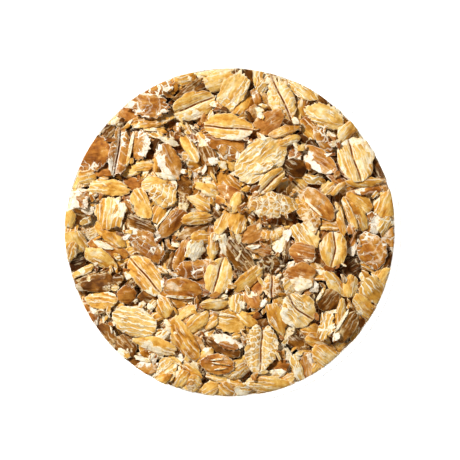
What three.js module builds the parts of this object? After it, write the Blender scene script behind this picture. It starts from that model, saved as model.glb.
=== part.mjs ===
// A small round bowl, filled to its brim with loose rolled grain flakes.
// Millimetres, +Z up, origin at the middle of the foot ring's flat underside.

import * as THREE from "three";

// ---------------------------------------------------------------- driving dimensions
const MOUTH_RADIUS = 42; // inside of the rim, where the cereal's round outline ends
const RIM_THICKNESS = 2.2; // the lip is a half round of this width
const BOWL_HEIGHT = 40;
const FOOT_RADIUS = 22; // where the wall leaves the foot ring
const FOOT_HEIGHT = 2.5;
const FOOT_WIDTH = 2.6; // flat ring that the bowl stands on
const FOOT_TAPER = 0.6; // how much narrower the foot ring is at the table
const RECESS_DEPTH = 1.8; // hollow inside the foot ring
const FLOOR_RADIUS = 19; // where the inside starts to curve up
const FLOOR_HEIGHT = 6; // top of the bowl's floor above the table

const FILL_BELOW_RIM = 1.8; // the cereal meets the wall this far under the top of the lip
const HEAP_RISE = 7; // how far its middle stands above that level
const CONTACT_GAP = 0.35; // between the cereal and the glaze

const FLAKE_COUNT = 260; // overlapping flakes that make the uneven top
const FLAKE_HALF_LENGTH = [4.0, 6.2];
const FLAKE_HALF_WIDTH = [2.6, 3.9];
const FLAKE_TILT = 0.22; // steepest slope of a flake
const FLAKE_LIFT = 1.5; // highest that a flake lies over the heap's mean surface
const FLAKE_CROWN = 0.5; // a flake's middle stands this much above its edge

const BOWL_SEGMENTS = 72;
const WALL_STEPS = 14;
const LIP_STEPS = 6;
const HEAP_SEGMENTS = 60;
const HEAP_RINGS = 22;
const SEED = 52;

// ---------------------------------------------------------------- small helpers
const TURN = 2 * Math.PI;
const lipCentre = BOWL_HEIGHT - RIM_THICKNESS / 2;

// Repeatable random numbers from 0 to 1.
function randomFrom(seed) {
  let state = seed;
  return () => {
    state = (state + 0x6d2b79f5) | 0;
    let mixed = Math.imul(state ^ (state >>> 15), 1 | state);
    mixed = (mixed + Math.imul(mixed ^ (mixed >>> 7), 61 | mixed)) ^ mixed;
    return ((mixed ^ (mixed >>> 14)) >>> 0) / 2 ** 32;
  };
}

const between = ([low, high], share) => low + (high - low) * share;

// Radius of a wall that leaves a flat floor level and ends upright: a quarter of an ellipse.
function wallRadius(z, floorRadius, topRadius, floorZ, topZ) {
  const left = 1 - (z - floorZ) / (topZ - floorZ);
  return floorRadius + (topRadius - floorRadius) * Math.sqrt(1 - left * left);
}

// Points up such a wall, evenly spaced round the ellipse.
function wallPoints(floorRadius, topRadius, floorZ, topZ, inset = 0) {
  const points = [];
  for (let i = 0; i <= WALL_STEPS; i++) {
    const angle = (i / WALL_STEPS) * (Math.PI / 2);
    const radius = floorRadius + (topRadius - floorRadius) * Math.sin(angle);
    const z = topZ - (topZ - floorZ) * Math.cos(angle);
    points.push(
      new THREE.Vector2(radius - inset * Math.sin(angle), z + inset * Math.cos(angle)),
    );
  }
  return points;
}

// A lathe turns about Y; this stands it up on Z.
const standUp = (geometry) => geometry.rotateX(Math.PI / 2);

// ---------------------------------------------------------------- the bowl
function bowlProfile() {
  const outside = wallPoints(FOOT_RADIUS, MOUTH_RADIUS + RIM_THICKNESS, FOOT_HEIGHT, lipCentre);
  const inside = wallPoints(FLOOR_RADIUS, MOUTH_RADIUS, FLOOR_HEIGHT, lipCentre).reverse();
  const lip = [];
  for (let i = 1; i < LIP_STEPS; i++) {
    const angle = (i / LIP_STEPS) * Math.PI;
    lip.push(
      new THREE.Vector2(
        MOUTH_RADIUS + (RIM_THICKNESS / 2) * (1 + Math.cos(angle)),
        lipCentre + (RIM_THICKNESS / 2) * Math.sin(angle),
      ),
    );
  }
  const footOuter = FOOT_RADIUS - FOOT_TAPER;
  const footInner = footOuter - FOOT_WIDTH;
  return [
    new THREE.Vector2(0, RECESS_DEPTH),
    new THREE.Vector2(footInner - FOOT_TAPER, RECESS_DEPTH),
    new THREE.Vector2(footInner, 0),
    new THREE.Vector2(footOuter, 0),
    ...outside,
    ...lip,
    ...inside,
    new THREE.Vector2(0, FLOOR_HEIGHT),
  ];
}

function makeBowl() {
  const glaze = new THREE.MeshStandardMaterial({
    color: 0xf6f4ef,
    roughness: 0.15,
    metalness: 0,
  });
  const bowl = new THREE.Mesh(
    standUp(new THREE.LatheGeometry(bowlProfile(), BOWL_SEGMENTS)),
    glaze,
  );
  bowl.name = "bowl";
  return bowl;
}

// ---------------------------------------------------------------- the cereal
const heapRadius =
  wallRadius(
    BOWL_HEIGHT - FILL_BELOW_RIM,
    FLOOR_RADIUS,
    MOUTH_RADIUS,
    FLOOR_HEIGHT,
    lipCentre,
  ) - CONTACT_GAP;

// Mean height of the heap: level with the wall at its edge, domed in the middle.
function domeHeight(radius) {
  const share = Math.min(radius / heapRadius, 1);
  return BOWL_HEIGHT - FILL_BELOW_RIM + HEAP_RISE * (1 - share * share);
}

// Flakes scattered over the heap, each an ellipse with its own turn and tilt. The first one lies
// level on the very top, so that the solid's middle, where its triangles are narrow, is smooth.
function scatterFlakes() {
  const random = randomFrom(SEED);
  const flakes = [
    {
      x: 0,
      y: 0,
      z: domeHeight(0) + FLAKE_LIFT + FLAKE_CROWN,
      along: [1, 0],
      length: FLAKE_HALF_LENGTH[1],
      width: FLAKE_HALF_WIDTH[1],
      slope: [0, 0],
    },
  ];
  while (flakes.length < FLAKE_COUNT) {
    const radius = heapRadius * Math.sqrt(random());
    const place = random() * TURN;
    const turn = random() * TURN;
    flakes.push({
      x: radius * Math.cos(place),
      y: radius * Math.sin(place),
      z: domeHeight(radius) + FLAKE_LIFT * random(),
      along: [Math.cos(turn), Math.sin(turn)],
      length: between(FLAKE_HALF_LENGTH, random()),
      width: between(FLAKE_HALF_WIDTH, random()),
      slope: [(random() - 0.5) * 2 * FLAKE_TILT, (random() - 0.5) * 2 * FLAKE_TILT],
    });
  }
  return flakes;
}

// Height of the cereal over one point: the topmost flake there, or the gap between flakes.
function heapHeight(x, y, flakes) {
  let height = domeHeight(Math.hypot(x, y));
  for (const flake of flakes) {
    const dx = x - flake.x;
    const dy = y - flake.y;
    const u = (dx * flake.along[0] + dy * flake.along[1]) / flake.length;
    const v = (dy * flake.along[0] - dx * flake.along[1]) / flake.width;
    const fromMiddle = u * u + v * v;
    if (fromMiddle > 1) continue;
    const top = flake.z + FLAKE_CROWN * (1 - fromMiddle);
    height = Math.max(height, top + dx * flake.slope[0] + dy * flake.slope[1]);
  }
  return height;
}

// The underside follows the bowl's inside; the rings of the top are raised to the flakes afterwards.
function makeCereal() {
  const edgeZ = BOWL_HEIGHT - FILL_BELOW_RIM;
  const underside = wallPoints(
    FLOOR_RADIUS,
    MOUTH_RADIUS,
    FLOOR_HEIGHT,
    lipCentre,
    CONTACT_GAP,
  ).filter((point) => point.y < edgeZ - 1);
  const top = [];
  for (let ring = HEAP_RINGS; ring > 0; ring--) {
    top.push(new THREE.Vector2((heapRadius * ring) / HEAP_RINGS, edgeZ));
  }
  const profile = [
    new THREE.Vector2(0, FLOOR_HEIGHT + CONTACT_GAP),
    ...underside,
    ...top,
    new THREE.Vector2(0, edgeZ),
  ];
  const geometry = standUp(new THREE.LatheGeometry(profile, HEAP_SEGMENTS));
  const flakes = scatterFlakes();
  const places = geometry.getAttribute("position");
  for (let i = 0; i < places.count; i++) {
    if (places.getZ(i) < edgeZ - 0.5) continue;
    const x = places.getX(i);
    const y = places.getY(i);
    const atWall = Math.hypot(x, y) > heapRadius - 0.01;
    places.setZ(i, atWall ? edgeZ : heapHeight(x, y, flakes));
  }
  geometry.computeVertexNormals();
  const flakeTan = new THREE.MeshStandardMaterial({
    color: 0xc9a067,
    roughness: 0.9,
    metalness: 0,
    flatShading: true,
  });
  const cereal = new THREE.Mesh(geometry, flakeTan);
  cereal.name = "cereal";
  return cereal;
}

// ---------------------------------------------------------------- the object
const bowlOfCereal = new THREE.Group();
bowlOfCereal.name = "bowl_of_cereal";
bowlOfCereal.add(makeBowl());
bowlOfCereal.add(makeCereal());

export default bowlOfCereal;
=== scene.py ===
"""A small white porcelain bowl filled to the brim with rolled flakes of five grains.

Metres, +Z up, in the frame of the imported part. Flakes are worked out in millimetres, laid in the
heap one by one, and turned to metres when their meshes are made.
"""

import math
from collections import namedtuple

import bpy
import numpy as np
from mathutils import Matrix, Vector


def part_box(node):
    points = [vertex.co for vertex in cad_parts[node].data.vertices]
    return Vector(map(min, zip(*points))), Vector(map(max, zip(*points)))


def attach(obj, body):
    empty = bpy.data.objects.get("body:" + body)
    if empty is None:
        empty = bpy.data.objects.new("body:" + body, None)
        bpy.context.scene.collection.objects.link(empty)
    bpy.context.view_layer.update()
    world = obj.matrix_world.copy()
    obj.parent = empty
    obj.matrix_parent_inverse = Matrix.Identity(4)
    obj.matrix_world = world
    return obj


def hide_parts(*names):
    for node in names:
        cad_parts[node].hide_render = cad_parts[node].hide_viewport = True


MM = 0.001

# ------------------------------------------------------------------ the frame
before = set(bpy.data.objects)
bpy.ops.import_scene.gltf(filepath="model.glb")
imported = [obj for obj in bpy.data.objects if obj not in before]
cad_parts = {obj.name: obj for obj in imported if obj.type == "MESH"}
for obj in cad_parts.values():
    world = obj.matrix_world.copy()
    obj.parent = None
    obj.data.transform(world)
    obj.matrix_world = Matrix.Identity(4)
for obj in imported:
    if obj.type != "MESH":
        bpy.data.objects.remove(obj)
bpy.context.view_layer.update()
bowl_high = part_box("bowl")[1]

BOWL_HEIGHT = bowl_high.z / MM
OUTER_RADIUS = bowl_high.x / MM
RIM_THICKNESS = 2.2
MOUTH_RADIUS = OUTER_RADIUS - RIM_THICKNESS
LIP_CENTRE = BOWL_HEIGHT - RIM_THICKNESS / 2
FOOT_RADIUS = 22.0
FOOT_HEIGHT = 2.5
FOOT_WIDTH = 2.6
FOOT_TAPER = 0.6
RECESS_DEPTH = 1.8
FLOOR_RADIUS = 19.0
FLOOR_HEIGHT = 6.0
FILL_BELOW_RIM = 1.2  # where the heap meets the wall
HEAP_RISE = 6.4  # how far its middle stands above that

# ------------------------------------------------------------------ the picture's view
PICTURE_SIDE = 460  # pixels
PICTURE_MIDDLE = (229.84, 232.14)  # centre of the bowl's mouth in the picture, in pixels
PIXELS_PER_MM = 3.891  # at the height of the rim
LENS = 90.0
SENSOR = 36.0
HALF_VIEW = PICTURE_SIDE / 2 / PIXELS_PER_MM
EYE_HEIGHT = BOWL_HEIGHT + HALF_VIEW / (SENSOR / 2 / LENS)
EYE_X = (PICTURE_SIDE / 2 - PICTURE_MIDDLE[0]) / PIXELS_PER_MM
EYE_Y = (PICTURE_MIDDLE[1] - PICTURE_SIDE / 2) / PIXELS_PER_MM


def dome(radius):
    """Mean height of the heap at a distance from its middle, in mm."""
    share = np.minimum(radius / MOUTH_RADIUS, 1.0)
    return BOWL_HEIGHT - FILL_BELOW_RIM + HEAP_RISE * (1 - share * share)


def from_picture(px, py):
    """Where a pixel of the picture meets the heap, in mm."""
    x = (px - PICTURE_MIDDLE[0]) / PIXELS_PER_MM
    y = (PICTURE_MIDDLE[1] - py) / PIXELS_PER_MM
    nearer = (EYE_HEIGHT - dome(math.hypot(x, y))) / (EYE_HEIGHT - BOWL_HEIGHT)
    return EYE_X + (x - EYE_X) * nearer, EYE_Y + (y - EYE_Y) * nearer


def place_camera():
    data = bpy.data.cameras.new("camera")
    data.lens = LENS
    data.sensor_width = SENSOR
    data.clip_start = 0.01
    camera = bpy.data.objects.new("camera", data)
    camera.location = (EYE_X * MM, EYE_Y * MM, EYE_HEIGHT * MM)
    bpy.context.scene.collection.objects.link(camera)
    bpy.context.scene.camera = camera


place_camera()


# ------------------------------------------------------------------ small helpers
def linear(code, alpha=1.0):
    """An sRGB hex colour as linear values."""
    shares = [int(code[i : i + 2], 16) / 255 for i in (1, 3, 5)]
    return [s / 12.92 if s <= 0.04045 else ((s + 0.055) / 1.055) ** 2.4 for s in shares] + [alpha]


def add(tree, kind, inputs=None, **settings):
    """Adds one node, sets its settings, and fills or links its inputs. A node given as a value
    stands for its first output."""
    made = tree.nodes.new(kind)
    for name, value in settings.items():
        setattr(made, name, value)
    for key, value in (inputs or {}).items():
        if isinstance(value, bpy.types.Node):
            value = value.outputs[0]
        if isinstance(value, bpy.types.NodeSocket):
            tree.links.new(value, made.inputs[key])
        else:
            made.inputs[key].default_value = value
    return made


def maths(tree, operation, *values, clamp=False):
    """One sum on one to three values."""
    return add(
        tree, "ShaderNodeMath", dict(enumerate(values)), operation=operation, use_clamp=clamp
    )


def mapped(tree, value, low, high, to_low=0.0, to_high=1.0, smooth=False):
    """A value from one span brought to another, and kept inside it."""
    spans = {0: value, 1: low, 2: high, 3: to_low, 4: to_high}
    course = "SMOOTHSTEP" if smooth else "LINEAR"
    return add(tree, "ShaderNodeMapRange", spans, interpolation_type=course)


def noise(tree, vector, scale, detail, roughness=0.5, distortion=0.0):
    sizes = {"Scale": scale, "Detail": detail, "Roughness": roughness, "Distortion": distortion}
    return add(tree, "ShaderNodeTexNoise", {"Vector": vector} | sizes)


def scaled(tree, vector, scale):
    return add(tree, "ShaderNodeMapping", {"Vector": vector, "Scale": scale}, vector_type="POINT")


def mixed_colour(tree, share, first, second):
    made = add(tree, "ShaderNodeMix", {0: share, 6: first, 7: second}, data_type="RGBA")
    return made.outputs[2]


def attribute(tree, name, output):
    return add(tree, "ShaderNodeAttribute", attribute_name=name).outputs[output]


def fine_relief(tree, shader, height, strength, distance):
    """Relief too fine for the mesh."""
    bump = add(
        tree, "ShaderNodeBump", {"Strength": strength, "Distance": distance, "Height": height}
    )
    tree.links.new(bump.outputs[0], shader.inputs["Normal"])


def mesh_object(name, points, faces, material, smooth=True):
    mesh = bpy.data.meshes.new(name)
    mesh.from_pydata(np.asarray(points).tolist(), [], np.asarray(faces, dtype=object).tolist())
    mesh.polygons.foreach_set("use_smooth", [smooth] * len(mesh.polygons))
    mesh.materials.append(material)
    mesh.update()
    made = bpy.data.objects.new(name, mesh)
    bpy.context.scene.collection.objects.link(made)
    return made


def keep_on(piece, node):
    """The piece rides on the one body and stands for a CAD node, which it hides."""
    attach(piece, "root")
    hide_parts(node)


# ------------------------------------------------------------------ finishes
def new_material(name):
    material = bpy.data.materials.new(name)
    material.use_nodes = True
    tree = material.node_tree
    return material, tree, tree.nodes["Principled BSDF"]


def colour_steps(tree, value, steps):
    """A ramp through sRGB colours, given as (place, colour)."""
    ramp = add(tree, "ShaderNodeValToRGB", {"Fac": value})
    marks = ramp.color_ramp.elements
    while len(marks) < len(steps):
        marks.new(0.5)
    for mark, (place, code) in zip(marks, steps):
        mark.position = place
        mark.color = linear(code)
    return ramp


def glazed_porcelain():
    """White porcelain, dipped in clear glaze and fired on its foot ring: a glossy, faintly wavy
    white, with a matt, slightly creamier ring underneath where the glaze was wiped off."""
    material, tree, shader = new_material("glazed_porcelain")
    place = add(tree, "ShaderNodeTexCoord")
    height = add(tree, "ShaderNodeSeparateXYZ", {0: place.outputs["Object"]})
    bare = mapped(tree, height.outputs["Z"], 0.7 * MM, 0.3 * MM)
    clouds = noise(tree, place.outputs["Object"], 1 / (22 * MM), 2.0)
    body = colour_steps(tree, clouds, [(0.3, "#F7F6F2"), (0.7, "#FCFBF9")])
    both = mixed_colour(tree, bare, body, linear("#EFE9DC"))
    tree.links.new(both, shader.inputs["Base Color"])
    gloss = mapped(tree, bare, 0.0, 1.0, 0.14, 0.75)
    tree.links.new(gloss.outputs[0], shader.inputs["Roughness"])
    waves = noise(tree, place.outputs["Object"], 1 / (9 * MM), 1.0)
    fine_relief(tree, shader, waves, 0.08, 0.4 * MM)
    shader.inputs["IOR"].default_value = 1.5
    shader.inputs["Subsurface Weight"].default_value = 0.5
    shader.inputs["Subsurface Radius"].default_value = (1.0, 0.95, 0.9)
    shader.inputs["Subsurface Scale"].default_value = 2.5 * MM
    return material


def painted_depth_shade():
    """Painted shade low in the heap: a dull dark brown in the gaps between flakes, where the shade falls."""
    material, tree, shader = new_material("painted_depth_shade")
    place = add(tree, "ShaderNodeTexCoord")
    shade_mottle = noise(tree, place.outputs["Object"], 1 / (1.1 * MM), 4.0)
    colour = colour_steps(tree, shade_mottle, [(0.3, "#2A1404"), (0.55, "#583010"), (0.75, "#8A5A26")])
    tree.links.new(colour.outputs[0], shader.inputs["Base Color"])
    shader.inputs["Roughness"].default_value = 0.9
    fine_relief(tree, shader, shade_mottle, 0.8, 0.3 * MM)
    return material


# What each kind of flake shows the eye: bran from dark to light, bare starch and the crease in sRGB,
# the crease's dark being its groove's bran and painted shade in the groove; how strong its starchy
# lines are and how far they wander; how strong its cracks are, with the mm between rungs of them and
# between the lines of a net of them; and how strong its pale edge is.
Look = namedtuple("Look", "dark body light starch crease lines wander crackle rung cell rim")
LOOKS = {
    # Rolled oat: golden with soft cream streaks along it, cream edge, brown crease.
    "oat": Look("#9C5F16", "#D69A3E", "#EFC670", "#FBEAC4", "#7A4014", 0.75, 5.0, 0.7, 1.5, 1.6, 0.6),
    # Rolled pearl barley: pale, with swirls and a network of starch round golden cells.
    "barley": Look("#A86E22", "#D8A44A", "#EFCA7E", "#FDF0CE", "#7A4416", 0.95, 9.0, 0.9, 1.6, 1.4, 0.6),
    # Rolled wheat: brown bran that cracks across, with white starch in the cracks.
    "wheat": Look("#7C4610", "#AE6F28", "#CE9648", "#FCF0D8", "#44220A", 0.3, 5.0, 1.0, 2.6, 2.0, 0.8),
    # Rolled rye: darker and greyer bran, thin lengthwise cream lines.
    "rye": Look("#4A2806", "#744610", "#A06C26", "#EED8A6", "#2E1806", 0.5, 6.0, 0.7, 2.2, 2.0, 0.6),
    # Rolled spelt: orange-brown smooth bran, cream patches.
    "spelt": Look("#844816", "#B0702C", "#CE944C", "#F8E6BC", "#54300E", 0.3, 4.0, 0.5, 2.4, 2.2, 0.6),
}


def flake_finish(grain):
    """The pressed face of one kind of grain. The pattern follows each flake through its own
    attributes: milled is its place along and across the flake in mm, spot holds edge share and
    crease, look holds starch, tone (its own colour, and painted shade for deep flakes) and ladder,
    and fold is the distance from its crease in mm."""
    look = LOOKS[grain]
    material, tree, shader = new_material(f"{grain}_flake")
    milled = attribute(tree, "milled", "Vector")
    spot = add(tree, "ShaderNodeSeparateXYZ", {0: attribute(tree, "spot", "Vector")})
    rim, crease = spot.outputs["X"], spot.outputs["Y"]
    own = add(tree, "ShaderNodeSeparateXYZ", {0: attribute(tree, "look", "Vector")})
    starch, tone, ladder = own.outputs
    fold = attribute(tree, "fold", "Fac")
    near = maths(tree, "ABSOLUTE", fold)

    # Clouds of lighter and darker bran, 2 mm across and drawn out along the flake, with fine
    # grain, shifted by the flake's tone, which for deep flakes is partly painted shade.
    stretched = scaled(tree, milled, (0.5, 1.0, 1.0))
    clouds = noise(tree, stretched, 0.42, 2.5, 0.5, 0.6)
    grainy = noise(tree, milled, 1.1, 3.0, 0.7)
    mixed = maths(tree, "MULTIPLY_ADD", grainy, 0.44, clouds)
    mixed = maths(tree, "SUBTRACT", mixed, 0.22)
    tinted = maths(tree, "MULTIPLY_ADD", tone, 0.26, mixed)
    steps = [(0.24, look.dark), (0.44, look.body), (0.62, look.light), (0.84, look.starch)]
    body = colour_steps(tree, tinted, steps)

    # Fine dark fibres along the flake.
    along = scaled(tree, milled, (0.3, 2.2, 1.0))
    fibres = noise(tree, along, 1.0, 3.0, 0.6, 0.8)
    dark_fibres = mapped(tree, fibres, 0.42, 0.28, 0.0, 0.4, smooth=True)
    streaked = mixed_colour(tree, dark_fibres, body, linear(look.dark))

    # Streaks of starch along the flake, and wandering lines of it pressed through the bran
    # 1.3 mm apart, in some places only.
    pale_fibres = mapped(tree, fibres, 0.54, 0.62, 0.0, look.lines, smooth=True)
    sizes = {"Scale": 0.25, "Distortion": look.wander, "Detail": 2.0}
    sizes |= {"Detail Scale": 1.0, "Detail Roughness": 0.6}
    waves = add(tree, "ShaderNodeTexWave", {"Vector": milled} | sizes, bands_direction="Y")
    where = noise(tree, milled, 0.3, 2.0)
    lines = mapped(tree, waves.outputs["Fac"], 0.76, 0.93, 0.0, look.lines, smooth=True)
    lines = maths(tree, "MAXIMUM", lines, pale_fibres)
    least = 0.6 - 0.16 * look.lines
    spread = maths(tree, "MULTIPLY_ADD", starch, 0.6, where)
    kept = mapped(tree, spread, least, least + 0.14)
    lines = maths(tree, "MULTIPLY", lines, kept)

    # Cracks across the flake where pressing broke the bran: rungs down from the crease in some
    # flakes, and a coarse net in others.
    bent = noise(tree, milled, 0.7, 2.0)
    place = add(tree, "ShaderNodeSeparateXYZ", {0: milled})
    slanted = maths(tree, "MULTIPLY_ADD", near, 0.45, place.outputs["X"])
    slanted = maths(tree, "MULTIPLY_ADD", bent, 2.0, slanted)
    slanted = add(tree, "ShaderNodeCombineXYZ", {0: slanted})
    rung = add(tree, "ShaderNodeTexWave", {"Vector": slanted})
    rung.inputs["Scale"].default_value = 0.314 / look.rung
    rungs = mapped(
        tree, rung.outputs["Fac"], 1 - 0.36 / look.rung, 1 - 0.1 / look.rung, smooth=True
    )
    laddered = mapped(tree, ladder, 0.45, 0.9)
    fewer = mapped(tree, ladder, 0.45, 0.9, 1.0, 0.3)
    lines = maths(tree, "MULTIPLY", lines, fewer)
    rungs = maths(tree, "MULTIPLY", rungs, laddered)
    across = scaled(tree, milled, (1 / look.cell, 0.85 / look.cell, 1.0))
    shifted = add(
        tree,
        "ShaderNodeVectorMath",
        {0: bent.outputs["Color"], 1: (0.9, 0.9, 0.0), 2: across},
        operation="MULTIPLY_ADD",
    )
    cells = add(
        tree,
        "ShaderNodeTexVoronoi",
        {"Vector": shifted, "Scale": 1.0, "Randomness": 0.9},
        feature="DISTANCE_TO_EDGE",
    )
    wanted = maths(tree, "MULTIPLY_ADD", ladder, 0.24, where)
    gape = mapped(tree, wanted, 0.58, 0.82, 0.0, 0.13)
    crack = maths(tree, "SUBTRACT", gape, cells.outputs["Distance"])
    crack = maths(tree, "MULTIPLY", crack, 25.0, clamp=True)
    crack = maths(tree, "MAXIMUM", crack, rungs)
    crack = maths(tree, "MULTIPLY", crack, look.crackle)

    # Bare starch where the bran came off, in ragged patches, along the broken edge and beside the
    # crease.
    patches = noise(tree, milled, 0.24, 4.0, 0.55, 0.6)
    reach = maths(tree, "MULTIPLY_ADD", starch, 0.38, patches)
    bare = mapped(tree, reach, 0.69, 0.72, smooth=True)
    ragged_rim = maths(tree, "MULTIPLY_ADD", fibres, 0.12, rim)
    pale_rim = mapped(tree, ragged_rim, 1.0, 1.05, 0.0, look.rim, smooth=True)
    bank = mapped(tree, near, 0.2, 0.32, 0.0, 0.8)
    beyond = mapped(tree, near, 0.6, 0.4)
    banks = maths(tree, "MULTIPLY", bank, beyond)
    banks = maths(tree, "MULTIPLY", banks, crease)
    white = lines
    for more in (crack, bare, pale_rim, banks):
        white = maths(tree, "MAXIMUM", white, more)
    starchy = colour_steps(tree, grainy, [(0.28, look.light), (0.44, look.starch), (0.74, "#FFFBF2")])
    coloured = mixed_colour(tree, white, streaked, starchy)

    # The crease: dark, here and there interrupted; the groove's darker bran, and painted shade in the
    # groove.
    crease_colour_and_shade = mapped(tree, near, 0.28, 0.12, smooth=True)
    broken = mapped(tree, bent, 0.35, 0.5, 0.4, 1.0)
    crease_colour_and_shade = maths(tree, "MULTIPLY", crease_colour_and_shade, crease)
    crease_colour_and_shade = maths(tree, "MULTIPLY", crease_colour_and_shade, broken)
    creased = mixed_colour(tree, crease_colour_and_shade, coloured, linear(look.crease))
    tree.links.new(creased, shader.inputs["Base Color"])
    shader.inputs["Roughness"].default_value = 0.6
    shader.inputs["Specular IOR Level"].default_value = 0.22

    # Relief too fine for the mesh: fibres and lines stand up, cracks sink.
    relief = maths(tree, "MULTIPLY_ADD", crack, -0.5, fibres)
    relief = maths(tree, "MULTIPLY_ADD", lines, 0.3, relief)
    fine_relief(tree, shader, relief, 0.9, 0.26 * MM)
    return material


# ------------------------------------------------------------------ the bowl
BOWL_SEGMENTS = 160
WALL_STEPS = 36
LIP_STEPS = 14
FOOT_BEVEL = 0.35


def wall_points(floor_radius, top_radius, floor_z, top_z):
    """Up a wall that leaves the floor level and ends upright: a quarter of an ellipse."""
    angle = np.linspace(0, math.pi / 2, WALL_STEPS + 1)
    radius = floor_radius + (top_radius - floor_radius) * np.sin(angle)
    return list(zip(radius, top_z - (top_z - floor_z) * np.cos(angle)))


def bowl_profile():
    """From the middle of the underside round the foot, up the outside, over the lip and down."""
    outer = FOOT_RADIUS - FOOT_TAPER
    inner = outer - FOOT_WIDTH
    foot = [
        (0, RECESS_DEPTH),
        (inner - FOOT_TAPER - FOOT_BEVEL, RECESS_DEPTH),
        (inner - FOOT_TAPER, RECESS_DEPTH - FOOT_BEVEL),
        (inner - FOOT_BEVEL, FOOT_BEVEL),
        (inner, 0),
        (outer, 0),
        (outer + FOOT_BEVEL, FOOT_BEVEL),
    ]
    turn = np.linspace(0, math.pi, LIP_STEPS + 1)[1:-1]
    half = RIM_THICKNESS / 2
    lip = list(zip(MOUTH_RADIUS + half * (1 + np.cos(turn)), LIP_CENTRE + half * np.sin(turn)))
    outside = wall_points(FOOT_RADIUS, OUTER_RADIUS, FOOT_HEIGHT, LIP_CENTRE)
    inside = wall_points(FLOOR_RADIUS, MOUTH_RADIUS, FLOOR_HEIGHT, LIP_CENTRE)
    return foot + outside + lip + inside[::-1] + [(0, FLOOR_HEIGHT)]


def turned(profile, segments):
    """Points and faces of a closed body turned about Z. The profile starts and ends on the axis."""
    ring = np.arange(segments) * 2 * math.pi / segments
    middle = np.array(profile[1:-1])
    points = [(radius * math.cos(a), radius * math.sin(a), z) for radius, z in middle for a in ring]
    points += [(0, 0, profile[0][1]), (0, 0, profile[-1][1])]
    start, end = len(points) - 2, len(points) - 1
    faces = []
    for row in range(len(middle) - 1):
        for i in range(segments):
            j = (i + 1) % segments
            low, high = row * segments, (row + 1) * segments
            faces.append((low + i, low + j, high + j, high + i))
    last = (len(middle) - 1) * segments
    for i in range(segments):
        j = (i + 1) % segments
        faces += [(start, j, i), (last + i, last + j, end)]
    return np.array(points), faces


def make_bowl():
    points, faces = turned(bowl_profile(), BOWL_SEGMENTS)
    bowl = mesh_object("porcelain_bowl", points * MM, faces, glazed_porcelain())
    keep_on(bowl, "bowl")
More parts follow.
